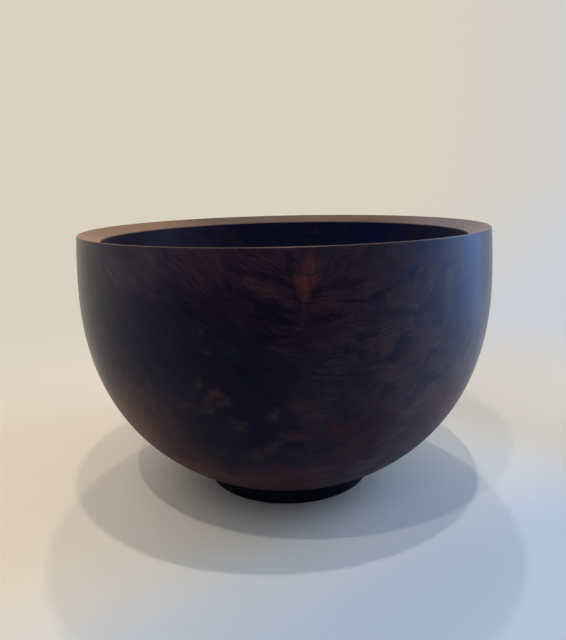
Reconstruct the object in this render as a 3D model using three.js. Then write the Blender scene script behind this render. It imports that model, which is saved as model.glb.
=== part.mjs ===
import * as THREE from 'three';

// A large turned bowl of dark figured wood on a low, separately turned foot ring.
// Lengths are in millimetres and +Z is up.
// The origin is on the table, under the middle of the foot.

// Outside of the bowl
const bellyRadius = 172.3; // widest place of the outside
const bellyHeight = 174; // height of the widest place above the table
const bellyFullness = 110; // length over which the side stays steep below the belly
const rimHeight = 222.8; // outer top corner, before its edge is softened
const rimInset = 2.4; // how far the side leans in between belly and rim

// Thickness of the wood
const wallThickness = 17; // measured square to the outside
const floorThickness = 11; // in the middle, above the spigot
const floorFlatness = 34; // how far the inside floor stays nearly level
const floorTurn = 20; // length over which the floor turns up into the wall

// Rim
const rimFall = 6.7; // the top slopes down by this much, from the outside to the inside
const rimOuterRound = 1.1; // radius of the softened outer edge
const rimInnerRound = 0.8; // radius of the softened inner edge

// Foot ring, and the seat that the bowl has for it
const footRadius = 73.2;
const footHeight = 13.5;
const footWidth = 15; // from the outside of the ring to its bore
const footEdgeRound = 1.0; // radius of the softened outer edge at the table
const footBoreChamfer = 1.5; // at the lower end of the bore
const seatMargin = 0.8; // the seat on the bowl is wider than the ring by this much
const seatSlope = 22; // degrees, at which the outside of the bowl leaves the seat
const seatSpring = 30; // length over which that slope is kept

// Spigot under the bowl, which centres the ring
const spigotLength = 3;
const spigotHollow = 1.5; // how much the underside is dished in the middle
const glueGap = 0.3; // between the spigot and the bore of the ring

// How finely the round shapes are divided
const turns = 96; // flats round the bowl and the ring
const outsideSteps = 14;
const sideSteps = 4;
const floorSteps = 6;
const hollowSteps = 4;
const edgeSteps = 3;

// Sizes that follow from the ones above
const seatRadius = footRadius + seatMargin;
const boreRadius = footRadius - footWidth;
const spigotRadius = boreRadius - glueGap;
const undersideHeight = footHeight - spigotLength;
const floorHeight = undersideHeight + floorThickness;

const point = (radius, height) => new THREE.Vector2(radius, height);

// The outside from the seat to the belly: it leaves the seat at the seat's slope and ends upright.
function outsideCurve() {
  const slope = THREE.MathUtils.degToRad(seatSlope);
  const start = point(seatRadius, footHeight);
  const startHandle = point(
    seatRadius + seatSpring * Math.cos(slope),
    footHeight + seatSpring * Math.sin(slope)
  );
  const bellyHandle = point(bellyRadius, bellyHeight - bellyFullness);
  const belly = point(bellyRadius, bellyHeight);
  return new THREE.CubicBezierCurve(start, startHandle, bellyHandle, belly);
}

// The inside runs a wall's thickness from the outside, square to it. Points go up from the seat.
function insideWall() {
  const curve = outsideCurve();
  return Array.from({ length: outsideSteps + 1 }, (_, step) => {
    const place = curve.getPoint(step / outsideSteps);
    const along = curve.getTangent(step / outsideSteps);
    return point(place.x - wallThickness * along.y, place.y + wallThickness * along.x);
  });
}

// The side above the belly: it leans in with the square of its height over the belly.
function sideAboveBelly(radius, topHeight) {
  return Array.from({ length: sideSteps }, (_, step) => {
    const share = (step + 1) / sideSteps;
    const height = bellyHeight + share * (topHeight - bellyHeight);
    return point(radius - rimInset * share * share, height);
  });
}

// The inside floor, from the axis to the foot of the inside wall.
function insideFloor(wallFoot) {
  const slope = THREE.MathUtils.degToRad(seatSlope);
  const curve = new THREE.CubicBezierCurve(
    point(0, floorHeight),
    point(floorFlatness, floorHeight),
    point(wallFoot.x - floorTurn * Math.cos(slope), wallFoot.y - floorTurn * Math.sin(slope)),
    wallFoot
  );
  return curve.getPoints(floorSteps);
}

// An arc of the given radius in place of a sharp corner between two straight runs.
function softCorner(before, corner, after, radius) {
  const toBefore = before.clone().sub(corner).normalize();
  const toAfter = after.clone().sub(corner).normalize();
  const halfAngle = Math.acos(toBefore.dot(toAfter)) / 2;
  const middle = toBefore.clone().add(toAfter).normalize();
  const centre = corner.clone().addScaledVector(middle, radius / Math.sin(halfAngle));
  const first = corner.clone().addScaledVector(toBefore, radius / Math.tan(halfAngle)).sub(centre);
  const last = corner.clone().addScaledVector(toAfter, radius / Math.tan(halfAngle)).sub(centre);
  const turn = Math.atan2(first.cross(last), first.dot(last));
  return Array.from({ length: edgeSteps + 1 }, (_, step) =>
    first.clone().rotateAround(point(0, 0), (turn * step) / edgeSteps).add(centre)
  );
}

// The dished underside of the spigot, from the axis to its edge: it falls with the square of the radius.
function spigotUnderside() {
  return Array.from({ length: hollowSteps + 1 }, (_, step) => {
    const share = step / hollowSteps;
    return point(spigotRadius * share, undersideHeight + spigotHollow * (1 - share * share));
  });
}

// The section of the bowl: underside, spigot, seat, outside, rim, inside wall and floor.
function bowlSection() {
  const outerSide = sideAboveBelly(bellyRadius, rimHeight);
  const innerSide = sideAboveBelly(bellyRadius - wallThickness, rimHeight - rimFall).reverse();
  const outerCorner = outerSide.pop();
  const innerCorner = innerSide.shift();
  const wall = insideWall();
  return [
    ...spigotUnderside(),
    point(spigotRadius, footHeight),
    ...outsideCurve().getPoints(outsideSteps),
    ...outerSide,
    ...softCorner(outerSide.at(-1), outerCorner, innerCorner, rimOuterRound),
    ...softCorner(outerCorner, innerCorner, innerSide[0], rimInnerRound),
    ...innerSide,
    ...wall.slice(1).reverse(),
    ...insideFloor(wall[0]).reverse()
  ];
}

// The section of the foot ring: its base, its outside, its top, which meets the seat, and its bore.
function footSection() {
  const baseInner = point(boreRadius + footBoreChamfer, 0);
  const baseCorner = point(footRadius, 0);
  const topOuter = point(footRadius, footHeight);
  return [
    baseInner,
    ...softCorner(baseInner, baseCorner, topOuter, footEdgeRound),
    topOuter,
    point(boreRadius, footHeight),
    point(boreRadius, footBoreChamfer),
    baseInner
  ];
}

// Turns a section about the upright axis.
function turned(name, section, material) {
  const geometry = new THREE.LatheGeometry(section, turns);
  geometry.rotateX(Math.PI / 2);
  const mesh = new THREE.Mesh(geometry, material);
  mesh.name = name;
  return mesh;
}

const figuredWood = new THREE.MeshStandardMaterial({ color: 0x33222a, roughness: 0.38, metalness: 0 });
const blackWood = new THREE.MeshStandardMaterial({ color: 0x120f14, roughness: 0.42, metalness: 0 });

const bowl = new THREE.Group();
bowl.add(turned('bowl_body', bowlSection(), figuredWood));
bowl.add(turned('foot_ring', footSection(), blackWood));

export default bowl;
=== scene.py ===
# %% [markdown]
# # A turned wooden bowl on a foot ring
# A large, deep bowl is turned on a lathe from one blank of dark wood. The blank comes from the fork
# of a tree, so its side shows a feather: growth layers that swing down to a bright tongue, and flames
# of red-brown under it. A low ring of near-black wood is glued under it as a foot. The lesson makes
# both shapes, their two finishes, a pale floor, the light and the camera. It starts from the packed
# model, which says where everything lies.

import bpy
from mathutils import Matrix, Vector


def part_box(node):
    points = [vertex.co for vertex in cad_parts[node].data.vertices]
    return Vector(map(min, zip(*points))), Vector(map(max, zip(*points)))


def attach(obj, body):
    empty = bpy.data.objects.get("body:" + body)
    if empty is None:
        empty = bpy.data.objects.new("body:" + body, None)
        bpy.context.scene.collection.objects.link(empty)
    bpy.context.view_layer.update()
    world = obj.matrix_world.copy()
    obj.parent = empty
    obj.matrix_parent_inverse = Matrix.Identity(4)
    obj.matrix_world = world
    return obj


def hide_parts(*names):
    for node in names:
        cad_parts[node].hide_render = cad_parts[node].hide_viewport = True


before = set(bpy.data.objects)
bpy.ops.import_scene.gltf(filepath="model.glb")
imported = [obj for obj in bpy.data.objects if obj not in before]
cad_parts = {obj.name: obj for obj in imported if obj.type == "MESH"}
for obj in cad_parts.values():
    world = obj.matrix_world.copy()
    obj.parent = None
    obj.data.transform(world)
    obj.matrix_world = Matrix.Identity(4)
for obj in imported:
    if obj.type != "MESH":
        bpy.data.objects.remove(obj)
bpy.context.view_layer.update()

# %% Libraries and units
import math

import bpy
import numpy as np
from mathutils import Matrix, Vector

MM = 0.001  # lengths in this lesson are in millimetres, and Blender's are in metres
print("the packed model holds", sorted(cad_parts))

# %% [markdown]
# ## Sizes
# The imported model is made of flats, and it stays hidden under the smooth pieces made here. The sizes
# that show from its boxes are read from it, so that the two can't drift apart. The others are the
# turner's: how thick the wall is, how far the rim falls towards the inside, how round the edges are.

# %% Read the sizes
def box_in_mm(node):
    """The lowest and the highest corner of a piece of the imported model, in millimetres."""
    low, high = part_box(node)
    return np.array(low) / MM, np.array(high) / MM


bowl_low, bowl_high = box_in_mm("bowl_body")
_, foot_high = box_in_mm("foot_ring")
belly_radius = bowl_high[0]
crest_height = bowl_high[2]
underside_height = bowl_low[2]
foot_radius = foot_high[0]
foot_height = foot_high[2]
print(f"belly {belly_radius:.1f}, crest {crest_height:.1f}, foot {foot_radius:.1f} x {foot_height:.1f} mm")

# %% [markdown]
# ## The section of the bowl
# Cut a turned bowl in half and its whole shape is one closed line. It could be drawn by hand as many
# points, but the real line is made of a few sweeps of a gouge, so here it is a few curves: a cubic
# curve from the seat of the foot to the belly, a side that leans in a little, a rim that falls to the
# inside, and an inside that keeps the wall's thickness. Each stretch is worked out as a whole array
# of points (radius, height).

# %% Curves that a section is made of
def cubic(start, start_handle, end_handle, end, steps):
    """A cubic curve. A point's weights are (1-t)^3, 3(1-t)^2 t, 3(1-t) t^2 and t^3 of the four points."""
    t = np.linspace(0, 1, steps + 1)[:, None]
    weights = np.hstack([(1 - t) ** 3, 3 * (1 - t) ** 2 * t, 3 * (1 - t) * t**2, t**3])
    return weights @ np.array([start, start_handle, end_handle, end])


def straight(start, end, steps):
    """Evenly spaced points from start to end."""
    share = np.linspace(0, 1, steps + 1)[:, None]
    return np.array(start) * (1 - share) + np.array(end) * share


def soft_corner(before, corner, after, radius, steps):
    """An arc in place of a sharp corner. Its centre is on the bisector, radius / sin(half angle) away."""
    to_before = np.subtract(before, corner) / np.linalg.norm(np.subtract(before, corner))
    to_after = np.subtract(after, corner) / np.linalg.norm(np.subtract(after, corner))
    half = math.acos(to_before @ to_after) / 2
    bisector = (to_before + to_after) / np.linalg.norm(to_before + to_after)
    centre = np.array(corner) + bisector * radius / math.sin(half)
    first = np.array(corner) + to_before * radius / math.tan(half) - centre
    last = np.array(corner) + to_after * radius / math.tan(half) - centre
    turn = math.atan2(first[0] * last[1] - first[1] * last[0], first @ last)
    angle = np.linspace(0, turn, steps + 1)
    across = np.array([-first[1], first[0]])
    return centre + np.outer(np.cos(angle), first) + np.outer(np.sin(angle), across)


def beside(curve, distance):
    """The curve moved square to itself, to its left. Two neighbours give a point its direction."""
    along = np.gradient(curve, axis=0)
    along /= np.linalg.norm(along, axis=1, keepdims=True)
    return curve + distance * np.column_stack([-along[:, 1], along[:, 0]])


print("a soft corner has", len(soft_corner((0, 1), (0, 0), (1, 0), 0.5, 8)), "points")

# %% The turner's sizes
belly_height = 174  # of the widest place, above the floor
belly_fullness = 110  # length over which the side stays steep below the belly
rim_height = 222.8  # of the outer corner, before its edge is softened
rim_inset = 2.4  # how far the side leans in between belly and rim
wall_thickness = 17  # square to the outside
rim_fall = 6.7  # the rim's top slopes down by this much towards the inside
rim_outer_round = 1.1
rim_inner_round = 0.8
seat_margin = 0.8  # the seat reaches this far past the foot ring
seat_radius = foot_radius + seat_margin
seat_slope = math.radians(22)  # the outside leaves the seat at this angle
seat_spring = 30  # and keeps it over this length
seat_round = 0.5
floor_thickness = 11
floor_flatness = 34  # how far the inside floor stays nearly level
floor_turn = 20  # length over which the floor turns up into the wall
foot_width = 15
bore_radius = foot_radius - foot_width
glue_gap = 0.3  # between the spigot and the ring's bore
spigot_radius = bore_radius - glue_gap
spigot_round = 0.3
spigot_hollow = 1.5  # how far its middle is cut in
print(f"the wall is {wall_thickness} mm thick, and the rim falls by {rim_fall} mm")

# %% How many straight steps each stretch of the section gets
underside_steps = 12
seat_steps = 6
outside_steps = 104
side_steps = 22
rim_round_steps = 8
rim_top_steps = 10
inner_side_steps = 14
floor_steps = 22
small_round_steps = 4
print(f"the outside below the belly is drawn in {outside_steps} steps")

# %% [markdown]
# The outside and the inside are made apart, so that a mask for the outside can be kept: the feather
# and the flames lie on the outside, and the inside wall, which was cut 17 mm deeper in the blank,
# shows others.

# %% The section, from the middle of the underside round to the middle of the inside floor
def side_above_belly(radius, top, steps):
    """The side leans in with the square of its height over the belly."""
    share = np.linspace(0, 1, steps + 1)
    return np.column_stack([radius - rim_inset * share**2, belly_height + share * (top - belly_height)])


def bowl_section():
    """The closed line of the bowl as (radius, height), and with each point 1 if it is outside and else 0."""
    share = np.linspace(0, 1, underside_steps + 1)
    underside_rise = spigot_hollow * (1 - share**2)
    underside = np.column_stack([spigot_radius * share, underside_height + underside_rise])
    spigot_foot = (spigot_radius, underside_height)
    spigot_top = (spigot_radius, foot_height)
    seat_edge = (seat_radius, foot_height)
    up_the_slope = np.array([math.cos(seat_slope), math.sin(seat_slope)])
    outside = cubic(
        seat_edge,
        np.array(seat_edge) + seat_spring * up_the_slope,
        (belly_radius, belly_height - belly_fullness),
        (belly_radius, belly_height),
        outside_steps,
    )
    wall = beside(outside, wall_thickness)
    outer_side = side_above_belly(belly_radius, rim_height, side_steps)
    inner_top = rim_height - rim_fall
    inner_side = side_above_belly(belly_radius - wall_thickness, inner_top, inner_side_steps)[::-1]
    outer_corner, inner_corner = outer_side[-1], inner_side[0]
    rim_outer = soft_corner(outer_side[-2], outer_corner, inner_corner, rim_outer_round, rim_round_steps)
    rim_inner = soft_corner(outer_corner, inner_corner, inner_side[1], rim_inner_round, rim_round_steps)
    floor_foot = wall[0]
    floor = cubic(
        floor_foot,
        floor_foot - floor_turn * up_the_slope,
        (floor_flatness, underside_height + floor_thickness),
        (0, underside_height + floor_thickness),
        floor_steps,
    )
    spigot_arc = soft_corner(underside[-2], spigot_foot, spigot_top, spigot_round, small_round_steps)
    seat_arc = soft_corner(spigot_top, seat_edge, outside[1], seat_round, small_round_steps)
    stretches = [
        (underside[:-1], 0),
        (spigot_arc, 0),
        (straight(spigot_top, seat_edge, seat_steps)[:-1], 0),
        (seat_arc, 1),
        (outside[1:], 1),
        (outer_side[1:-1], 1),
        (rim_outer, 1),
        (straight(rim_outer[-1], rim_inner[0], rim_top_steps)[1:-1], 0),
        (rim_inner, 0),
        (inner_side[1:], 0),
        (wall[-2::-2], 0),  # every second point, from the top down
        (floor[1:], 0),
    ]
    points = np.vstack([points for points, _ in stretches])
    outer = np.concatenate([np.full(len(points), value, float) for points, value in stretches])
    return points, outer


bowl_line, bowl_outer = bowl_section()
print(f"the section has {len(bowl_line)} points, and its crest is at {bowl_line[:, 1].max():.2f} mm")

# %% [markdown]
# ## Turning a section into a mesh
# Blender's Screw and Spin could turn the line, but they leave doubled points on the axis and a seam.
# A grid is as easy: one parameter runs along the section and the other round the axis, and the whole
# grid is one multiplication. A section that starts and ends on the axis gets one single point there,
# with a fan of triangles round it.

# %% The lathe
sharp_bend = 40  # degrees between two faces; sharper edges stay crisp under smooth shading


def turned_mesh(name, section, turns, closed):
    """A point at angle a of a section point (r, h) is (r sin a, -r cos a, h). Faces join the neighbours in
    both directions. A closed section is a ring. An open one starts and ends on the axis, below first, so
    that its faces point out."""
    angle = np.arange(turns) * 2 * math.pi / turns
    rings = section if closed else section[1:-1]
    grid = np.stack(
        [
            np.outer(rings[:, 0], np.sin(angle)),
            -np.outer(rings[:, 0], np.cos(angle)),
            np.outer(rings[:, 1], np.ones(turns)),
        ],
        axis=-1,
    )
    points = grid.reshape(-1, 3)
    number = np.arange(len(rings) * turns).reshape(len(rings), turns)
    here = number if closed else number[:-1]
    above = np.roll(number, -1, axis=0) if closed else number[1:]
    here_next, above_next = np.roll(here, -1, axis=1), np.roll(above, -1, axis=1)
    faces = np.stack([here, here_next, above_next, above], axis=-1).reshape(-1, 4).tolist()
    if not closed:
        low, high = len(points), len(points) + 1
        points = np.vstack([points, [0, 0, section[0, 1]], [0, 0, section[-1, 1]]])
        first, last = number[0], number[-1]
        faces += np.stack([np.full(turns, low), np.roll(first, -1), first], axis=-1).tolist()
        faces += np.stack([np.full(turns, high), last, np.roll(last, -1)], axis=-1).tolist()
    mesh = bpy.data.meshes.new(name)
    mesh.from_pydata((points * MM).tolist(), [], faces)
    mesh.shade_smooth()
    mesh.set_sharp_from_angle(angle=math.radians(sharp_bend))
    return mesh


print("edges stay crisp that bend by more than", sharp_bend, "degrees")

# %% A mesh as a piece of the part
def piece(mesh, node):
    """An object for a mesh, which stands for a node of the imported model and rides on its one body."""
    thing = bpy.data.objects.new(mesh.name, mesh)
    bpy.context.scene.collection.objects.link(thing)
    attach(thing, "root")
    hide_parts(node)
    triangles = sum(len(face.vertices) - 2 for face in mesh.polygons)
    print(f"{mesh.name}: {triangles} triangles")
    return thing


print("the pieces made here take the place of", len(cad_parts), "nodes")

# %% [markdown]
# ## The bowl
# The mask of the outside goes into the mesh as an attribute, one number per point, which the finish
# reads later.

# %% Turn the bowl
bowl_turns = 320
bowl_mesh = turned_mesh("turned_bowl", bowl_line, bowl_turns, closed=False)
outer_skin = bowl_mesh.attributes.new("outer_skin", "FLOAT", "POINT")
skin_values = np.append(np.repeat(bowl_outer[1:-1], bowl_turns), [0, 0])
outer_skin.data.foreach_set("value", skin_values.astype(np.float32))
bowl = piece(bowl_mesh, "bowl_body")

# %% [markdown]
# ## The foot ring
# The ring is a closed line too: flat where it stands, flat where it is glued to the seat, and with
# its outer edges and the bore's lower edge broken a little with sandpaper, because a crisp edge on
# black wood would chip.

# %% Turn the foot ring
foot_round = 1.0  # of the outer edge at the floor
foot_top_round = 0.4
bore_chamfer = 1.5
long_steps = 8  # of the ring's base and side, and of the edge between them
short_steps = 6  # of its top and bore, and of the edge round its top
chamfer_steps = 3
base_inner = (bore_radius + bore_chamfer, 0)
base_outer = (foot_radius, 0)
top_outer = (foot_radius, foot_height)
top_inner = (bore_radius, foot_height)
bore_low = (bore_radius, bore_chamfer)
base_arc = soft_corner(base_inner, base_outer, top_outer, foot_round, long_steps)
top_arc = soft_corner(base_outer, top_outer, top_inner, foot_top_round, short_steps)
foot_line = np.vstack(
    [
        straight(base_inner, base_arc[0], long_steps)[:-1],
        base_arc,
        straight(base_arc[-1], top_arc[0], long_steps)[1:-1],
        top_arc,
        straight(top_arc[-1], top_inner, short_steps)[1:],
        straight(top_inner, bore_low, short_steps)[1:],
        straight(bore_low, base_inner, chamfer_steps)[1:-1],
    ]
)
foot_turns = 256
foot = piece(turned_mesh("turned_foot", foot_line, foot_turns, closed=True), "foot_ring")

# %% [markdown]
# ## Shader maths as Python expressions
# A finish is arithmetic on positions: how far up, how far round, how much noise. In the node editor
# each sum is a node. Here a small class wraps a socket, so that a sum of two values adds its Math
# node by itself, and one method adds every other kind of node.

# %% Values
class Value:
    """A number that changes over a surface. Arithmetic on it adds Math nodes to its node tree."""

    def __init__(self, wiring, socket):
        self.wiring = wiring
        self.socket = socket

    def maths(self, operation, *others):
        """A Math node of that operation, on this value and any others."""
        sockets = dict(enumerate((self, *others)))
        return self.wiring.node("ShaderNodeMath", {"operation": operation}, sockets)

    def __add__(self, other):
        return self.maths("ADD", other)

    def __sub__(self, other):
        return self.maths("SUBTRACT", other)

    def __rsub__(self, other):
        return self.maths("MULTIPLY_ADD", -1.0, other)

    def __mul__(self, other):
        return self.maths("MULTIPLY", other)

    def __truediv__(self, other):
        return self.maths("DIVIDE", other)

    def __rtruediv__(self, other):
        return self.wiring.node("ShaderNodeMath", {"operation": "DIVIDE"}, {0: other, 1: self})

    def size(self):
        """How far the value is from 0."""
        return self.maths("ABSOLUTE")

    __radd__ = __add__
    __rmul__ = __mul__


print("a value adds one Math node for each sum, product or quotient")

# %% Node trees
def colour(rgb):
    """Red, green and blue with an opacity of 1, as a colour socket takes them."""
    return (*rgb, 1.0)


class Wiring:
    """A node tree that is built by expressions."""

    def __init__(self, tree):
        self.tree = tree
        self.tree.nodes.clear()

    def node(self, kind, settings, sockets, output=0):
        """Adds a node of a kind, with its settings and with numbers or values for its sockets. Returns an
        output."""
        made = self.tree.nodes.new(kind)
        for name, setting in settings.items():
            if name == "stops":
                self.set_stops(made.color_ramp, setting)
            else:
                setattr(made, name, setting)
        for name, entry in sockets.items():
            if isinstance(entry, Value):
                self.tree.links.new(entry.socket, made.inputs[name])
            else:
                made.inputs[name].default_value = entry
        return Value(self, made.outputs[output]) if made.outputs else None

    def set_stops(self, ramp, stops):
        """Gives a colour ramp its stops, each a place and a colour."""
        while len(ramp.elements) < len(stops):
            ramp.elements.new(1)
        for element, (place, rgb) in zip(ramp.elements, stops):
            element.position = place
            element.color = colour(rgb)

    def parts(self, vector):
        """The x, y and z of a vector."""
        outputs = self.node("ShaderNodeSeparateXYZ", {}, {0: vector}).socket.node.outputs
        return [Value(self, outputs[axis]) for axis in "XYZ"]

    def place(self):
        """Where a point of the surface is, in millimetres, as a vector and as its x, y and z."""
        here = self.node("ShaderNodeTexCoord", {}, {}, "Object")
        vector = self.node("ShaderNodeVectorMath", {"operation": "SCALE"}, {0: here, "Scale": 1 / MM})
        return vector, *self.parts(vector)

    def vector(self, x, y, z):
        """Three values as one vector."""
        return self.node("ShaderNodeCombineXYZ", {}, {0: x, 1: y, 2: z})

    def noise(self, vector, size, detail=2.0, roughness=0.5, distortion=0.0):
        """Smooth noise from 0 to 1 whose lumps are about as wide as size, in millimetres."""
        sockets = {
            "Vector": vector,
            "Scale": 1 / size,
            "Detail": detail,
            "Roughness": roughness,
            "Distortion": distortion,
        }
        return self.node("ShaderNodeTexNoise", {"noise_dimensions": "3D"}, sockets)

    def wander(self, vector, size, reach, **kind):
        """Noise about 0, which is reach from its lowest to its highest."""
        return (self.noise(vector, size, **kind) - 0.5) * reach

    def rise(self, value, low, high):
        """0 below low, 1 above high, and smooth between. With low above high it falls instead."""
        settings = {"interpolation_type": "SMOOTHSTEP"}
        flip = low > high
        sockets = {0: value, 1: min(low, high), 2: max(low, high), 3: float(flip), 4: float(not flip)}
        return self.node("ShaderNodeMapRange", settings, sockets)

    def mix(self, first, second, share):
        """A colour that goes from first to second with share."""
        settings = {"data_type": "RGBA"}
        return self.node("ShaderNodeMix", settings, {0: share, 6: first, 7: second}, 2)

    def ramp(self, value, stops):
        """A colour ramp over a value."""
        return self.node("ShaderNodeValToRGB", {"stops": stops}, {0: value})

    def bump(self, height, strength, distance):
        """A normal that leans as the height says. A height of 1 stands distance high, in millimetres."""
        sockets = {"Strength": strength, "Distance": distance * MM, "Height": height}
        return self.node("ShaderNodeBump", {}, sockets)


print("a node tree takes any of Blender's nodes, such as Noise Texture, Color Ramp and Bump")

# %% Finishes
class Finish(Wiring):
    """A material whose node tree is built by expressions."""

    def __init__(self, name):
        self.material = bpy.data.materials.new(name)
        self.material.use_nodes = True
        super().__init__(self.material.node_tree)

    def principled(self, **sockets):
        """A Principled shader. An underscore in a name stands for a space."""
        named = {name.replace("_", " "): entry for name, entry in sockets.items()}
        return self.node("ShaderNodeBsdfPrincipled", {}, named)

    def surface(self, shader):
        """Ends the finish with a shader."""
        self.node("ShaderNodeOutputMaterial", {}, {"Surface": shader})
        return self.material


print("a finish is a node tree that belongs to a material")

# %% [markdown]
# ## The figured wood, step 1: growth layers
# A tree grows in layers, and in a fork they bend down between the two stems like hanging cloth. So
# the height of a layer is the height above the floor, less a bow that grows away from the feather's
# line, less a small step beside it, which leaves a notch at the line. Two noises make the layers
# wander. Noise that is stretched along the layers and thin across them then draws the streaks.
# Because this is worked out in space and not on the surface, the streaks run on over the rim and
# inside.

# %% Growth layers
wood = Finish("figured_wood")
here, x, y, z = wood.place()
feather_x = 11  # the feather's line lies this far to the right
bow_height = 164
bow_width = 110
right_slack = 0.6  # the layers rise less to the right of the feather
from_feather = x - feather_x
spread = (from_feather * -1).maths("MAXIMUM", from_feather * right_slack)
bow_share = spread / bow_width
bow = ((bow_share * bow_share + 1).maths("SQRT") - 1) * bow_height
notch_depth = 9
notch_width = 14
notch = spread / (spread + notch_width) * notch_depth * wood.rise(z, 158, 186)
slow_wander = wood.wander(here, 70, 46)
quick_wander = wood.wander(here, 19, 11, detail=3)
layer = z - bow - notch + slow_wander + quick_wander
left_spread = belly_radius + feather_x
side_rise = bow_height * (math.hypot(1, left_spread / bow_width) - 1)
print(f"at the left side a layer lies {side_rise:.0f} mm higher than at the feather")

# %% Streaks along the layers
def across_layers(thinness):
    """Coordinates for streaks: x and y as they are, and the layer's height times the thinness, so that
    noise is that many times thinner across the layers than along them."""
    return wood.vector(x, y, layer * thinness)


broad_streaks = wood.noise(across_layers(4), 26, detail=5, roughness=0.6)
fine_streaks = wood.noise(across_layers(8), 13, detail=4, roughness=0.65)
strands = wood.noise(across_layers(3), 34, detail=3, roughness=0.5)
line_spacing = 3.3
line_phase = (layer / line_spacing + strands * 4).maths("PINGPONG", 0.5)
line_strength = wood.rise(wood.noise(across_layers(3), 17, detail=2), 0.36, 0.60)
dark_lines = wood.rise(line_phase, 0.24, 0.03) * line_strength
mottle = wood.noise(across_layers(1.7), 17, detail=5, roughness=0.62, distortion=0.6)
print("layers and streaks:", len(wood.tree.nodes), "nodes")

# %% [markdown]
# ## Step 2: flames, strokes and zones
# Where the fibres stand on end they drink more oil and look black. Where they lie flat they throw the
# light back and glow red-brown. On this bowl such places are few and clear, so they are listed one by
# one. Each is an oval: an angle round the bowl and a height, two half lengths, a tilt and a strength.
# A Mapping node moves the surface's own coordinates into the oval, and a round gradient fills it. Of
# the flames, and of the dark strokes, the strongest one counts at each place.
# The zones are broad and soft, and their lifts are added up. The coordinates are warped by noise
# first, which makes the ovals ragged.

# %% Coordinates that follow the side
around = x.maths("ARCTAN2", y * -1) * belly_radius
elsewhere = wood.vector(y, z, x)  # the same noise at another place is another noise
big_warp_x = wood.wander(here, 12, 6)
big_warp_z = wood.wander(elsewhere, 12, 6)
small_warp_x = wood.wander(here, 3.2, 6)
small_warp_z = wood.wander(elsewhere, 3.2, 5)
side = wood.vector(around + big_warp_x + small_warp_x, z + big_warp_z + small_warp_z, 0.0)
broad_side = wood.vector(around + slow_wander, z + slow_wander, 0.0)


def oval(finish, coordinates, angle, height, length, width, tilt):
    """1 in the middle of an oval on the side, and 0 from its edge outwards. The angle is in degrees, from
    the front to the right. The height and the two half lengths are in millimetres."""
    sockets = {
        "Vector": coordinates,
        "Location": (math.radians(angle) * belly_radius, height, 0),
        "Rotation": (0, 0, math.radians(tilt)),
        "Scale": (length, width, 1),
    }
    mapped = finish.node("ShaderNodeMapping", {"vector_type": "TEXTURE"}, sockets)
    return finish.node("ShaderNodeTexGradient", {"gradient_type": "SPHERICAL"}, {0: mapped}, 1)


def strongest(finish, coordinates, rows):
    """The strongest of some ovals at a place. A row is an oval and its strength."""
    total = 0.0
    for *shape, strength in rows:
        total = (oval(finish, coordinates, *shape) * strength).maths("MAXIMUM", total)
    return total


def lifted(finish, coordinates, rows):
    """The sum of the lifts of some soft ovals. A row is an oval and its lift, also below 0."""
    total = 0.0
    for *shape, lift in rows:
        total = finish.rise(oval(finish, coordinates, *shape), 0.0, 1.0) * lift + total
    return total


print(f"a degree on the side is {math.radians(belly_radius):.2f} mm long")

# %% Flames, listed one by one on the side with the feather
flame_rows = [
    (-3.2, 197, 25, 9, -35, 0.8),
    (-7, 201, 9, 4, -50, 0.8),
    (-3.5, 214, 15, 6, -6, 0.45),
    (3.6, 184, 4, 2.2, 80, 0.9),
    (3.2, 178, 4, 2.5, 60, 0.7),
    (2, 173, 5, 2.5, 30, 0.7),
    (-18.5, 211, 20, 3.4, -44, 0.6),
    (-17, 205, 38, 20, -30, 0.5),
    (-22, 207, 16, 3, -46, 0.5),
    (-25.5, 192, 8, 5, -20, 0.55),
    (-29, 203, 6, 4, 30, 0.4),
    (-1.5, 160, 16, 4, -12, 0.7),
    (9, 165, 18, 4, 4, 0.5),
    (-16.7, 157, 6, 4, 0, 0.6),
    (-18, 170, 7, 4, 60, 0.5),
    (24, 210, 18, 4.5, 12, 0.6),
    (31.5, 205, 18, 5, 45, 0.6),
    (14, 210, 14, 4, 8, 0.5),
    (-20.0, 135, 9, 6, 75, 1.0),
    (-15.2, 131, 7, 5, 80, 1.0),
    (-17.6, 125, 19, 6, 48, 1.0),
    (-13.8, 127, 10, 4.5, -60, 1.0),
    (-15.5, 123, 12, 3.6, 5, 0.9),
    (-18.3, 116, 13, 4.4, 28, 1.0),
    (-23.2, 118, 16, 5, 5, 0.7),
    (-11, 105.5, 10, 6.5, 20, 1.0),
    (-13, 109.5, 6, 4, -60, 0.7),
    (-3.2, 115, 10, 5, 60, 1.0),
    (3, 121, 15, 9.5, -18, 1.0),
    (3.7, 112, 8, 5.5, 80, 0.9),
    (6.5, 106, 10, 9, 0, 0.6),
    (11.5, 101, 17, 6.5, -55, 1.1),
    (15, 100, 16, 6, 46, 1.1),
    (1.5, 97.5, 19, 6.5, -9, 1.0),
    (-4.5, 87, 18, 5.5, 34, 1.0),
    (-8, 80, 14, 8.5, 34, 1.0),
    (-2, 66.5, 19, 8, -25, 1.0),
    (20.5, 78, 24, 6, 84, 1.0),
    (23.5, 82, 18, 5, 74, 0.8),
    (2, 80.5, 13, 2.6, -30, 0.6),
    (7.5, 73.5, 14, 2.6, -14, 0.6),
    (-31, 92, 20, 8, -40, 0.5),
    (-24, 66, 20, 6, -16, 0.6),
    (-14, 60, 20, 5, -8, 0.6),
    (25, 122, 16, 8, -20, 0.35),
]
flames = strongest(wood, side, flame_rows)
print(len(flame_rows), "flames")
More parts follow.
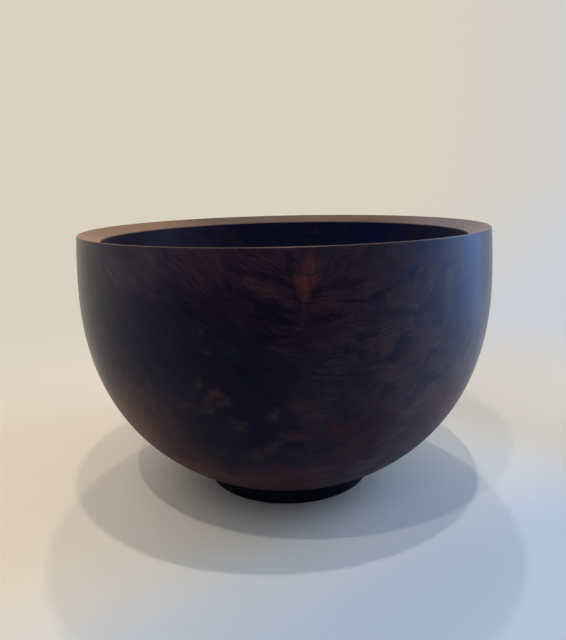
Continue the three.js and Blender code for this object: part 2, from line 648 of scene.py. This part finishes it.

# %% Dark strokes, listed one by one round the feather
stroke_rows = [
    (-5.5, 206.5, 17, 4.2, -10, 1.0),
    (-0.6, 202, 9, 3.2, -38, 0.9),
    (0.9, 213, 10, 3.4, 88, 1.0),
    (1.9, 195, 11, 2.6, -64, 1.0),
    (-4, 187, 28, 5, -33, 0.9),
    (-1.0, 186, 13, 2.6, -20, 0.9),
    (-11.5, 200, 9, 4, -60, 0.8),
    (6.2, 196, 7, 5.5, 60, 1.0),
    (11.8, 199.5, 18, 5, 2, 0.85),
    (13, 188.5, 13, 2.4, -4, 0.9),
    (8.6, 179.5, 15, 2.4, 2, 0.9),
    (-5.0, 181, 18, 2.6, -16, 0.8),
    (-3, 169, 18, 2.6, -8, 0.7),
    (20, 192, 18, 4, 16, 0.6),
    (12.4, 160, 9, 2.4, 84, 0.6),
    (15.2, 154, 11, 2.4, 88, 0.6),
    (-14.6, 125.4, 6, 1.8, 22, 1.0),
    (2.0, 88, 22, 2.6, -8, 0.6),
    (8, 84, 18, 2.6, -4, 0.6),
]
strokes = strongest(wood, side, stroke_rows)
print(len(stroke_rows), "strokes")

# %% Zones: darker and lighter ones, red ones, and those where single layers show as dark lines
# The rows near 50 degrees right and left, low on the side, lift the lower flanks: partly lighter wood,
# partly painted sheen.
tone_and_sheen_rows = [
    (-13, 100, 80, 78, 0, -0.48),
    (-28, 168, 90, 56, 0, -0.26),
    (-9, 168, 62, 70, 0, -0.24),
    (52, 92, 140, 110, 0, 0.71),
    (26, 176, 84, 84, 0, 0.22),
    (-54, 70, 120, 85, 0, 0.78),
    (-18, 45, 140, 40, 0, 0.30),
    (24, 48, 150, 44, 0, 0.30),
    (-34, 214, 120, 26, 0, 0.25),
    (-40, 188, 44, 38, 0, 0.20),
    (-56, 138, 60, 46, 0, -0.28),
    (38, 184, 60, 44, 0, 0.19),
    (50, 100, 54, 44, 0, 0.30),
]
red_rows = [
    (-4, 190, 74, 52, 0, 1.0),
    (-42, 75, 120, 90, 0, 0.7),
    (-8, 48, 100, 40, 0, 0.7),
    (14, 90, 60, 40, 0, 0.6),
    (50, 98, 60, 44, 0, 0.8),
]
line_rows = [
    (-3, 196, 60, 50, -15, 1.0),
    (-13, 178, 60, 40, -40, 1.0),
    (9, 168, 90, 40, 0, 0.9),
    (14, 104, 60, 40, -30, 0.6),
]
skin = wood.node("ShaderNodeAttribute", {"attribute_name": "outer_skin"}, {}, "Fac")
plain_tone = 0.55  # of the ground where no zone lifts it
zone_and_sheen_lift = lifted(wood, broad_side, tone_and_sheen_rows)
zone_tone = (zone_and_sheen_lift * skin + plain_tone).maths("MINIMUM", 1.0)
red_zone = wood.rise(strongest(wood, broad_side, red_rows), 0.0, 0.6)
line_zone = wood.rise(strongest(wood, broad_side, line_rows), 0.0, 0.5)
print("zones:", len(tone_and_sheen_rows), "of tone,", len(red_rows), "of red,", len(line_rows), "of dark lines")

# %% [markdown]
# Away from the feather the wood is plainer, but it still has flames of its own. There noise alone
# decides: only its highest lumps glow. The attribute of the outside keeps what was listed from
# showing on the inside wall.

# %% Flames elsewhere
near_feather = skin * wood.rise(around.size(), 190, 120) * wood.rise(z, 20, 60)  # 0 behind and inside
free_lumps = wood.noise(across_layers(1.7), 26, detail=4, roughness=0.62)
free_flames = wood.rise(free_lumps, 0.60, 0.78) * (1 - near_feather)
flame_edge = flames * near_feather + (fine_streaks - 0.5) * 0.5
flame_share = wood.rise(flame_edge, 0.0, 0.85).maths("MAXIMUM", free_flames * 0.6)
print("with flames and zones:", len(wood.tree.nodes), "nodes")

# %% [markdown]
# ## Step 3: the tongue of the feather
# Where the two stems met, the layers are pinched to a bright tongue that hangs from the rim and ends
# in a point. Its half width grows in proportion to the height over the point, up to a limit. A dark
# bar crosses it, and above the bar it is narrower. Inside it the fibres run upright.

# %% The tongue
tongue_point = 188
tongue_widening = 0.50  # of its half width, for each millimetre of height
tongue_lean = 0.14  # to the right, for each millimetre of height
tongue_half_most = 7.5
shoulder_width = 4.0  # above the dark bar each half is narrower by this
bar_height = 205.5  # of the dark bar's middle
bar_bend = 0.045  # its ends rise by this, times the square of their distance
tongue_up = z - tongue_point
off_axis = from_feather - tongue_up * tongue_lean
tongue_ragged = wood.wander(wood.vector(x * 2, y * 2, z * 0.6), 7, 9, detail=3)
shoulder = wood.rise(z, 204, 209) * shoulder_width
tongue_half = (tongue_up * tongue_widening).maths("MINIMUM", tongue_half_most) - shoulder + tongue_ragged
tongue_inside = tongue_half - off_axis.size()
fibres = wood.noise(wood.vector(x * 3.4, y * 3.4, z * 0.3), 7, detail=4, roughness=0.6)
fibre_light = wood.rise(fibres, 0.30, 0.66)
tongue_front = wood.rise(y, -100, -130) * skin
tongue_ends = wood.rise(z, 186, 192) * wood.rise(z, 223, 213)
tongue = wood.rise(tongue_inside, -3.0, 4.0) * tongue_front * tongue_ends
from_bar = z - bar_height - off_axis * off_axis * bar_bend
tongue_bar = wood.rise(from_bar.size(), 1.5, 0.5)
print("the tongue's point is at", tongue_point, "mm")

# %% [markdown]
# ## Step 4: from tone to colour
# All that went before is summed into one number, the tone: 0 is oil-soaked black, and 1.25 is the
# lightest brown. A flame isn't added to it. It pulls the tone towards a level of its own, so that it
# is as bright on dark ground as on light. Low on the left the tone breaks up into patches.

# %% Tone
fine_share = line_zone * 0.45 + 0.35
broad_share = wood.rise(z, 110, 50) * 0.5 + 0.45
streaks = (broad_streaks - 0.5) * broad_share + (fine_streaks - 0.5) * fine_share + (mottle - 0.5) * 0.6
patch_zone = wood.rise(around, 20, -50) * wood.rise(z, 172, 130)  # low on the left
patches = (wood.rise(zone_tone + (mottle - 0.5) * 1.1, 0.42, 0.58) - 0.5) * patch_zone
strokes_share = wood.rise(strokes, 0.1, 0.6) * near_feather
ground_tone = zone_tone + streaks + patches * 0.24 - dark_lines * line_zone * 0.26
flame_tone = ((fine_streaks - 0.5) * 1.2 + 0.74 - ground_tone).maths("MAXIMUM", 0.0) * flame_share
tone = ground_tone + flame_tone - strokes_share * 0.30
print("with the tone:", len(wood.tree.nodes), "nodes")

# %% [markdown]
# Two colour ramps read the tone: one runs from cold black to umber, for the plain ground, and the
# other from black to red-brown, for flames and red zones. The blue of their darkest stops is partly
# painted reflection of cool light. All over the ground lie spots of slate. Inside, a blue cast covers
# most of the figure, more of it on the right: painted cool window light and its painted reflection.

# %% Ramps of the ground and of the reds
# The blue of the darkest stops in both ramps is partly painted reflection of cool light.
ground_stops = [
    (0.0, (0.0035, 0.0028, 0.0130)),
    (0.2, (0.0078, 0.0055, 0.0160)),
    (0.4, (0.0165, 0.0110, 0.0210)),
    (0.6, (0.0330, 0.0215, 0.0300)),
    (0.8, (0.062, 0.038, 0.042)),
    (1.0, (0.094, 0.060, 0.060)),
]
red_stops = [
    (0.0, (0.0040, 0.0022, 0.0100)),
    (0.2, (0.0082, 0.0043, 0.0130)),
    (0.4, (0.0162, 0.0081, 0.0160)),
    (0.6, (0.0330, 0.0123, 0.0160)),
    (0.8, (0.061, 0.0192, 0.0175)),
    (1.0, (0.092, 0.034, 0.027)),
]
top_tone = 1.25  # the ramps end here
ramp_place = tone / top_tone
ground = wood.ramp(ramp_place, ground_stops)
reds = wood.ramp(ramp_place, red_stops)
print("the two ramps have", len(ground_stops), "and", len(red_stops), "stops")

# %% The colours put together
orange_red = (0.084, 0.0225, 0.0185)
slate = (0.0085, 0.0090, 0.0260)
# The next two blues are painted cool window light and its painted reflection on the inside wall.
painted_blue_inside = (0.0048, 0.0085, 0.0340)
painted_window_blue = (0.0058, 0.0100, 0.058)
slate_spots = wood.noise(across_layers(1.5), 22, detail=4, roughness=0.6)
slate_share = wood.rise(slate_spots, 0.48, 0.62)
cold_ground = wood.mix(ground, colour(slate), slate_share * 0.55)
inside_skin = (1 - skin) * wood.rise(z, 14, 18)  # the underside, which is lower, is left out
inside_left = inside_skin * wood.rise(x, 0, -70) * 0.7
red_share = (red_zone * 0.85).maths("MAXIMUM", flame_share).maths("MAXIMUM", inside_left)
layered = wood.mix(cold_ground, reds, red_share)
tongue_glow = tongue * (1 - tongue_bar * 0.85) * (fibre_light * 0.62 + 0.28) * (1 - dark_lines * 0.15)
feathered = wood.mix(layered, colour(orange_red), tongue_glow)
# Painted cool light: the inside wall takes a blue cast, more of it towards the window on the right.
painted_blue_share = inside_skin * wood.rise(mottle, 0.80, 0.40) * (wood.rise(x, -110, 0) * 0.88 + 0.04)
painted_blue_light = wood.mix(colour(painted_blue_inside), colour(painted_window_blue), wood.rise(x, 30, 110))
wood_with_painted_blue = wood.mix(feathered, painted_blue_light, painted_blue_share)
print("with colours:", len(wood.tree.nodes), "nodes")

# %% [markdown]
# ## Step 5: the rim
# The rim is sanded finer and takes less oil, which makes it partly lighter. The rest of its lightness
# is painted light from above and a painted reflection of the bright room behind, so it is the
# lightest place. In front and behind it shows end grain, which is greyer, and at both sides long
# grain, which is browner. On the right it is colder, which is painted cool light from the window. Two
# measures tell the rim from the sides: how far a point lies over the rim's sloping plane, and how far
# from the axis.

# %% The rim
rim_brown = (0.26, 0.136, 0.072)
rim_grey = (0.114, 0.078, 0.057)
rim_painted_cool_light = (0.150, 0.122, 0.130)
ring = wood.node("ShaderNodeVectorMath", {"operation": "LENGTH"}, {0: wood.vector(x, y, 0.0)}, 1)
rim_inner_radius = belly_radius - wall_thickness - rim_inset
rim_inner_height = rim_height - rim_fall
rim_slope = rim_fall / wall_thickness
over_rim = z - rim_inner_height - (ring - rim_inner_radius) * rim_slope
outer_edge = belly_radius - rim_inset
on_rim = wood.rise(over_rim, -1.1, -0.5) * wood.rise(ring, outer_edge + 0.1, outer_edge - 0.9)
long_grain = wood.rise((x * -1).maths("MAXIMUM", x - 45), 60, 150)  # shorter on the right
rim_light = long_grain * 0.6 + wood.rise(slow_wander, -6, 8) * 0.35 + (broad_streaks - 0.5) * 0.5
rim_wood = wood.mix(colour(rim_grey), colour(rim_brown), rim_light)
# On the right the rim turns cool: painted cool light from the window.
rim_colour = wood.mix(rim_wood, colour(rim_painted_cool_light), wood.rise(x, 95, 160))
# The rim's lighter colour is partly painted light from above and a painted reflection of the room.
wood_colour = wood.mix(wood_with_painted_blue, rim_colour, on_rim * 0.9)
print(f"the rim's top slopes by {math.degrees(math.atan(rim_slope)):.0f} degrees")

# %% [markdown]
# ## Step 6: sheen
# Oil leaves a satin surface. Seen straight on it is nearly dull, and seen at a slant it mirrors the
# window. So a dull and a glossy Principled shader are mixed, and the angle at which the surface is
# seen sets the share. The fine rings that the gouge leaves stretch the mirrored light, which is what
# Anisotropic does. The pores are short strokes along the layers, a tenth of a millimetre deep. They
# change the roughness a little too.

# %% Sheen and pores
pores = wood.rise(wood.noise(wood.vector(x * 0.25, y * 0.25, layer), 1.1, detail=2), 0.60, 0.72)
grain_height = fine_streaks * 0.3 - pores
wood_roughness = broad_streaks * 0.10 + pores * 0.12 + 0.37
shared = {
    "Base_Color": wood_colour,
    "Roughness": wood_roughness,
    "Anisotropic": 0.8,
    "Anisotropic_Rotation": 0.25,
    "Normal": wood.bump(grain_height, 0.25, 0.1),
}
dull = wood.principled(Specular_IOR_Level=0.0, **shared)
oiled_gloss = wood.principled(Specular_IOR_Level=0.5, **shared)
facing_away = wood.node("ShaderNodeLayerWeight", {}, {"Blend": 0.5}, "Facing")
gloss_by_angle = (facing_away * 0.80 + 0.38) * facing_away + 0.08
rim_dullness = on_rim * (wood.rise(y, 60, 150) * 0.35 + 0.5)
gloss_share = gloss_by_angle * (wood.rise(z, 20, 150) * 0.75 + 0.25) * (1 - rim_dullness)
wood_shader = wood.node("ShaderNodeMixShader", {}, {0: gloss_share, 1: dull, 2: oiled_gloss})
bowl.data.materials.append(wood.surface(wood_shader))
print("figured wood:", len(wood.tree.nodes), "nodes")

# %% [markdown]
# ## The black wood of the foot
# African blackwood and bog oak are black with a cast of brown or blue. Here the blue cast is partly
# painted reflection of cool light. A flat black would look like plastic, so faint lighter streaks run
# across the ring, where it was cut from a straight board, and fine turning lines run round it.

# %% Black wood
black = Finish("black_wood")
_, foot_x, foot_y, foot_z = black.place()
along_board = black.vector(foot_x * 0.25, foot_y * 2.2, foot_z * 2.2)
board_streaks = black.noise(along_board, 12, detail=4, roughness=0.6)
# The blue of these stops is partly painted reflection of cool light.
black_colour = black.ramp(
    board_streaks,
    [
        (0.3, (0.0030, 0.0037, 0.0100)),
        (0.62, (0.0062, 0.0068, 0.0140)),
        (0.8, (0.013, 0.0115, 0.017)),
    ],
)
pore_noise = black.noise(black.vector(foot_x * 0.2, foot_y, foot_z), 0.9, detail=2)
black_pores = black.rise(pore_noise, 0.62, 0.74)
black_roughness = board_streaks * 0.14 + black_pores * 0.1 + 0.3
turning_lines = black.noise(black.vector(0.0, 0.0, foot_z), 0.5, detail=1)
black_shader = black.principled(
    Base_Color=black_colour,
    Roughness=black_roughness,
    Specular_IOR_Level=0.07,
    Normal=black.bump(turning_lines * 0.5 - black_pores, 0.2, 0.08),
)
foot.data.materials.append(black.surface(black_shader))
print("black wood:", len(black.tree.nodes), "nodes")

# %% [markdown]
# ## The floor
# The bowl stands on a plain pale floor. To the camera the floor fades into the background a little
# way off, so that no edge or horizon shows from any side, but near the bowl it keeps the shadows. Its
# colour changes slowly, and the changes are painted light: warm in general, cool in front and towards
# the window on the right, as painted window light, and duller to the right behind the bowl, which is
# painted shade. On the left the paint is darker, but it glows a little. The glow stands in for soft
# light from the left, which fills the shadows there.

# %% The background, as a colour that depends on the direction
warm_behind = (0.70, 0.645, 0.53)
cool_right = (0.60, 0.62, 0.67)
dim_front = (0.31, 0.34, 0.43)


def background(wiring, to_right, to_back):
    """What is seen far away: pale and warm behind the bowl, cool on its right, dim in front."""
    all_round = wiring.mix(colour(dim_front), colour(warm_behind), wiring.rise(to_back, -0.8, 0.4))
    behind_right = wiring.rise(to_right, 0.15, 0.6) * wiring.rise(to_back, 0.0, 0.6)
    return wiring.mix(all_round, colour(cool_right), behind_right)


def seen(wiring):
    """1 for rays that show a thing to the eye: straight, mirrored or through glass."""
    ray = wiring.node("ShaderNodeLightPath", {}, {}).socket.node.outputs
    straight_ray = Value(wiring, ray["Is Camera Ray"])
    mirrored_ray = Value(wiring, ray["Is Glossy Ray"])
    ray_through = Value(wiring, ray["Is Transmission Ray"])
    return straight_ray.maths("MAXIMUM", mirrored_ray).maths("MAXIMUM", ray_through)


print("behind the bowl the background is", warm_behind)

# %% Floor
half_floor = 12.0  # metres
floor_corners = [
    (-half_floor, -half_floor, 0),
    (half_floor, -half_floor, 0),
    (half_floor, half_floor, 0),
    (-half_floor, half_floor, 0),
]
floor_mesh = bpy.data.meshes.new("pale_floor")
floor_mesh.from_pydata(floor_corners, [], [(0, 1, 2, 3)])
floor = bpy.data.objects.new("pale_floor", floor_mesh)
bpy.context.scene.collection.objects.link(floor)
print("the floor is", 2 * half_floor, "m wide")

# %% Paint
paint = Finish("pale_paint")
floor_place, floor_x, floor_y, _ = paint.place()
warm_paint = (0.76, 0.72, 0.63)
left_paint = (0.50, 0.44, 0.365)
painted_window_light = (0.395, 0.465, 0.545)
painted_shade_colour = (0.50, 0.455, 0.375)
# The cool and the shaded shares are painted light: cool window light in front and on the right, and painted
# shade to the right behind the bowl.
coolness = paint.rise(floor_x * 0.75 - floor_y * 1.1, 6, 300)
shaded = paint.rise(floor_x + floor_y * 0.8, 115, 330) * 0.85
leftness = paint.rise(floor_x * -1 + floor_y * 0.35, 0, 200)
floor_in_painted_window_light = paint.mix(colour(warm_paint), colour(painted_window_light), coolness)
floor_in_painted_shade = paint.mix(floor_in_painted_window_light, colour(painted_shade_colour), shaded)
paint_colour = paint.mix(floor_in_painted_shade, colour(left_paint), leftness)
print("with four paints:", len(paint.tree.nodes), "nodes")

# %% Glow and fade
no_glow = (0, 0, 0)
most_glow = (0.21, 0.18, 0.145)
fade_start = 330
fade_end = 800
distance = paint.node("ShaderNodeVectorMath", {"operation": "LENGTH"}, {0: floor_place}, 1)
fade = paint.rise(distance, fade_start, fade_end) * seen(paint)
far_colour = background(paint, floor_x / distance, floor_y / distance)
matt = paint.node("ShaderNodeBsdfDiffuse", {}, {"Color": paint_colour})
glow_share = leftness * paint.rise(distance, 20, 160)
glow_colour = paint.mix(colour(no_glow), colour(most_glow), glow_share)
glow = paint.node("ShaderNodeEmission", {}, {"Color": glow_colour, "Strength": 1.0})
lit_floor = paint.node("ShaderNodeAddShader", {}, {0: matt, 1: glow})
flat = paint.node("ShaderNodeEmission", {}, {"Color": far_colour, "Strength": 1.0})
faded = paint.node("ShaderNodeMixShader", {}, {0: fade, 1: lit_floor, 2: flat})
paint.node("ShaderNodeOutputMaterial", {}, {"Surface": faded})
floor_mesh.materials.append(paint.material)
print("the floor fades from", fade_start, "to", fade_end, "mm away")

# %% [markdown]
# ## Light
# The room light is soft: bright behind the bowl, and dim where the camera stands. A cool window
# stands on the right and a large panel in front. Two more panels are seen in reflections alone, and
# they draw the sheen on both sides. Three small lamps hang above, and their shadows are the round
# overlapping discs under the bowl. A shadow's middle lies opposite its lamp, as far from the axis as
# the lamp is, times the rim's height, over the lamp's height above the rim.

# %% The room
world = bpy.data.worlds.new("room")
bpy.context.scene.world = world
world.use_nodes = True
room = Wiring(world.node_tree)
direction = room.node("ShaderNodeTexCoord", {}, {}, "Generated")
rightward, backward, upward = room.parts(direction)
dim_side = (0.06, 0.08, 0.18)
bright_side = (0.475, 0.465, 0.44)
overhead = (0.55, 0.57, 0.61)
side_light = room.mix(colour(dim_side), colour(bright_side), room.rise(backward, -0.8, 0.6))
room_light = room.mix(side_light, colour(overhead), room.rise(upward, 0.15, 0.75))
room_colour = room.mix(room_light, background(room, rightward, backward), seen(room))
room_shader = room.node("ShaderNodeBackground", {}, {"Color": room_colour, "Strength": 1.0})
room.node("ShaderNodeOutputWorld", {}, {"Surface": room_shader})
print("the room is drawn with", len(room.tree.nodes), "nodes")

# %% Lights and their power
def look_from(place, target):
    """A matrix that puts a thing at a place, with its front, which is minus Z, towards a target."""
    turn = (Vector(target) - Vector(place)).to_track_quat("-Z", "Y")
    return Matrix.Translation(place) @ turn.to_matrix().to_4x4()


def add_light(name, kind, place, target, power, rgb, **settings):
    """A light of a kind, with its power in watts."""
    data = bpy.data.lights.new(name, kind)
    data.energy = power
    data.color = rgb
    for setting, value in settings.items():
        setattr(data, setting, value)
    light = bpy.data.objects.new(name, data)
    light.matrix_world = look_from(place, target)
    light.visible_camera = False
    bpy.context.scene.collection.objects.link(light)
    return light


def panel_power(brightness, width, height):
    """The power of a flat panel that looks that bright: the brightness times pi times its area."""
    return brightness * width * height * math.pi


def lamp_power(floor_light, height):
    """The power of a small lamp under which a white floor looks that bright: the brightness times four
    times pi squared times the square of the lamp's height."""
    return floor_light * 4 * math.pi**2 * height**2


print(f"a white panel of one square metre has {panel_power(1, 1, 1):.2f} W")

# %% Panels
bowl_middle = (0, 0, 0.12)
panel_rows = [
    ("right_window", (0.75, -0.08, 0.42), (0, 0, 0.42), (0.92, 0.78), 3.8, (0.12, 0.38, 1.0)),
    ("left_window", (-0.75, -0.20, 0.30), (0, 0, 0.30), (0.7, 0.6), 0.45, (0.10, 0.32, 1.0)),
    ("window", (1.3, 0.2, 0.9), bowl_middle, (0.9, 0.9), 5.6, (0.42, 0.62, 1.0)),
    ("front_panel", (-0.2, -1.3, 1.7), bowl_middle, (0.9, 0.9), 1.1, (1.0, 0.96, 0.92)),
]
reflected_only = ("right_window", "left_window")
for panel_name, panel_place, faced, (wide, high), brightness, tint in panel_rows:
    power = panel_power(brightness, wide, high)
    settings = {"shape": "RECTANGLE", "size": wide, "size_y": high}
    panel = add_light(panel_name, "AREA", panel_place, faced, power, tint, **settings)
    panel.visible_diffuse = panel_name not in reflected_only
print(len(panel_rows), "panels, of which", len(reflected_only), "are seen in reflections alone")

# %% Lamps
lamp_colour = (1.0, 0.9, 0.78)
lamp_rows = [
    ("lamp_near", (0.124, -0.269, 2.35), 0.25, 0.02),
    ("lamp_left", (-0.475, -0.955, 2.35), 0.19, 0.02),
    ("lamp_back", (0.09, 2.04, 5.0), 0.22, 0.10),
]
for lamp_name, lamp_place, floor_light, lamp_radius in lamp_rows:
    power = lamp_power(floor_light, lamp_place[2])
    settings = {"shadow_soft_size": lamp_radius}
    add_light(lamp_name, "POINT", lamp_place, (0, 0, 0), power, lamp_colour, **settings)

# %% [markdown]
# ## Camera
# The camera looks from a little above the rim. Its place and tilt were worked out from the outline of
# the bowl: the rim's ellipse gives the height, the side's taper the distance, and the slope of the
# two the tilt.

# %% Camera
camera_place = (0.0, -0.5224, 0.2596)
camera_pitch = math.radians(12.96)  # down from level
camera_roll = math.radians(1.333)
camera_yaw = math.radians(-0.261)
level_forward = Vector((math.sin(camera_yaw), math.cos(camera_yaw), 0))
forward = level_forward * math.cos(camera_pitch) - Vector((0, 0, math.sin(camera_pitch)))
level_right = Vector((math.cos(camera_yaw), -math.sin(camera_yaw), 0))
down = forward.cross(level_right)
right = level_right * math.cos(camera_roll) + down * math.sin(camera_roll)
up = level_right * math.sin(camera_roll) - down * math.cos(camera_roll)
turned = Matrix((right, up, -forward)).transposed().to_4x4()
camera_data = bpy.data.cameras.new("camera")
camera_data.sensor_width = 36  # Blender takes this and the next in millimetres
camera_data.lens = 33.75
camera_data.clip_start = 0.01
camera = bpy.data.objects.new("camera", camera_data)
camera.matrix_world = Matrix.Translation(camera_place) @ turned
bpy.context.scene.collection.objects.link(camera)
bpy.context.scene.camera = camera
bpy.context.scene.view_settings.view_transform = "Standard"
print(f"the camera is {Vector(camera_place).length:.2f} m from the middle of the foot")
